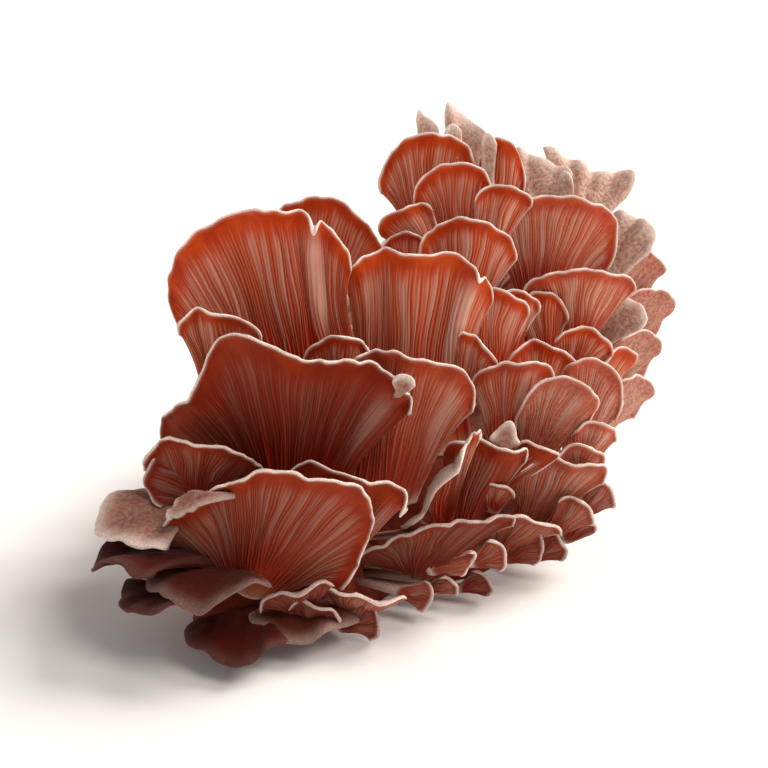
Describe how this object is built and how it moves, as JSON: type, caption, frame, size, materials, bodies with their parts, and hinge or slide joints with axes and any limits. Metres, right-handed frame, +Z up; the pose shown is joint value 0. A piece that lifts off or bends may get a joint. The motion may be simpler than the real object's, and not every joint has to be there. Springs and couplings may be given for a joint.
{
  "type": "oyster mushroom cluster",
  "caption": "Dense cluster of pink oyster mushrooms: overlapping ruffled fan caps with gilled faces and downy rims, growing from a fused base cut flat to stand on",
  "frame": {"origin": "middle of the flat cut face that the cluster stands on", "axes": "+Z up; -Y towards the viewer, the side where most of the gilled faces look; +X to the viewer's right"},
  "size_m": [0.2216, 0.1984, 0.1611],
  "materials": {
    "cap": "soft matt mushroom flesh, salmon orange, downy on the top",
    "base_flesh": "matt fibrous mushroom flesh, cream to pale pink"
  },
  "bodies": {
    "root": {"fore_low": "cap", "fore_high": "cap", "fore_right": "cap", "left_small": "cap", "left_shelf": "cap", "left_shelf_low": "cap", "fore_lip": "cap", "low_left_shelf": "cap", "lowest": "cap", "lowest_right": "cap", "upper_left": "cap", "upper_left_back": "cap", "left_tucked": "cap", "middle": "cap", "tucked_bit": "cap", "middle_low": "cap", "crest_left": "cap", "crest_mid": "cap", "crest_left_lobe": "cap", "crest_right_lobe": "cap", "crest_folded": "cap", "shoulder": "cap", "shoulder_bit": "cap", "crest_tip_left": "cap", "crest_tip": "cap", "right_crest": "cap", "right_mid": "cap", "right_corner": "cap", "right_shadow": "cap", "right_fill": "cap", "right_low": "cap", "slot_top": "cap", "slot": "cap", "slot_left": "cap", "centre_right": "cap", "centre_right_back": "cap", "tongue": "cap", "wing": "cap", "wing_back": "cap", "low_bit": "cap", "low_rim": "cap", "trumpet": "cap", "ribbon": "cap", "long_low": "cap", "low_right": "cap", "flank": "cap", "back_1": "cap", "back_2": "cap", "back_3": "cap", "far_1": "cap", "far_2": "cap", "far_3": "cap", "far_4": "cap", "rear_1": "cap", "rear_2": "cap", "rear_3": "cap", "rear_4": "cap", "rear_5": "cap", "rear_6": "cap", "base": "base_flesh"}
  },
  "joints": []
}
